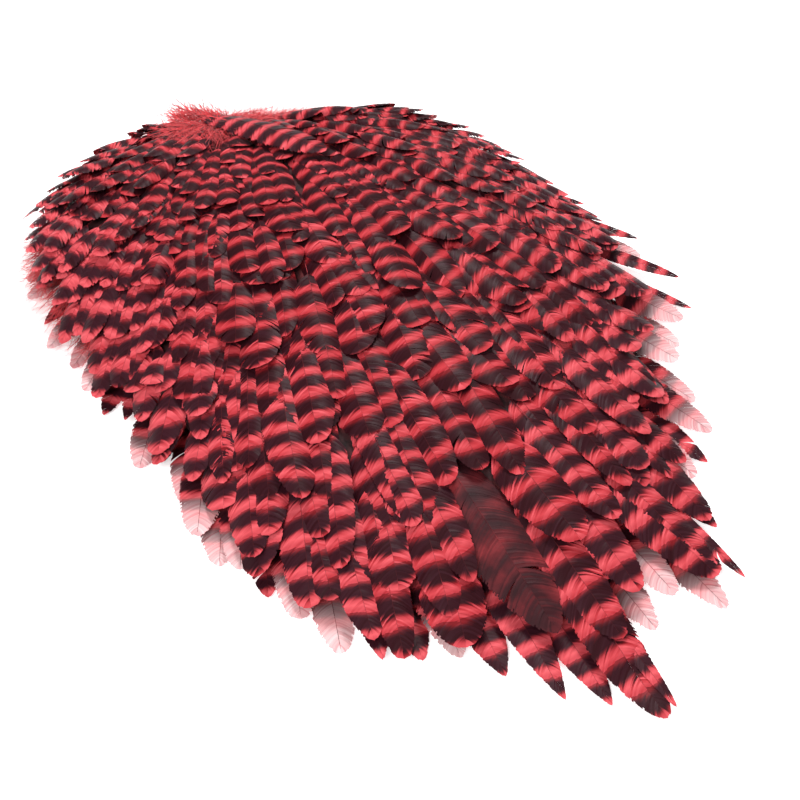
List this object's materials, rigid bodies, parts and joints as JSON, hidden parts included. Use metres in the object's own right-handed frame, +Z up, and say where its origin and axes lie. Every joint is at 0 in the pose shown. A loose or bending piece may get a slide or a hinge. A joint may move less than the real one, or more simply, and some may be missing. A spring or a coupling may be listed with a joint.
{
  "type": "hen saddle patch",
  "caption": "Dried, dyed hen saddle skin with its coat of red feathers barred in black, domed at the neck and thin at the tail, lying flat on its skin side",
  "frame": {"origin": "on the flat underside of the skin, straight below the crown of the dome", "axes": "+Y from tail to neck along the patch, +X to the right flank seen from above with the neck ahead, +Z up from the skin side to the feathers"},
  "size_m": [0.1437, 0.1991, 0.0251],
  "materials": {
    "hide": "dyed dry skin under satin feathers",
    "barred_feather": "satin red feather vanes with dark bars",
    "plain_feather": "satin plain maroon feather vane"
  },
  "bodies": {
    "root": {"dark_feather": "plain_feather", "hide": "hide", "rim_feather_01": "barred_feather", "rim_feather_02": "barred_feather", "rim_feather_03": "barred_feather", "rim_feather_04": "barred_feather", "rim_feather_05": "barred_feather", "rim_feather_06": "barred_feather", "rim_feather_07": "barred_feather", "rim_feather_08": "barred_feather", "rim_feather_09": "barred_feather", "rim_feather_10": "barred_feather", "rim_feather_11": "barred_feather", "rim_feather_12": "barred_feather", "rim_feather_13": "barred_feather", "rim_feather_14": "barred_feather", "rim_feather_15": "barred_feather", "rim_feather_16": "barred_feather", "rim_feather_17": "barred_feather", "rim_feather_18": "barred_feather", "rim_feather_19": "barred_feather", "rim_feather_20": "barred_feather", "rim_feather_21": "barred_feather", "rim_feather_22": "barred_feather", "rim_feather_23": "barred_feather", "rim_feather_24": "barred_feather", "rim_feather_25": "barred_feather", "rim_feather_26": "barred_feather", "rim_feather_27": "barred_feather", "rim_feather_28": "barred_feather", "rim_feather_29": "barred_feather", "rim_feather_30": "barred_feather", "rim_feather_31": "barred_feather", "rim_feather_32": "barred_feather", "rim_feather_33": "barred_feather", "rim_feather_34": "barred_feather", "rim_feather_35": "barred_feather", "rim_feather_36": "barred_feather", "rim_feather_37": "barred_feather", "rim_feather_38": "barred_feather", "rim_feather_39": "barred_feather", "rim_feather_40": "barred_feather", "rim_feather_41": "barred_feather", "rim_feather_42": "barred_feather", "rim_feather_43": "barred_feather", "stray_feather": "barred_feather"}
  },
  "joints": []
}
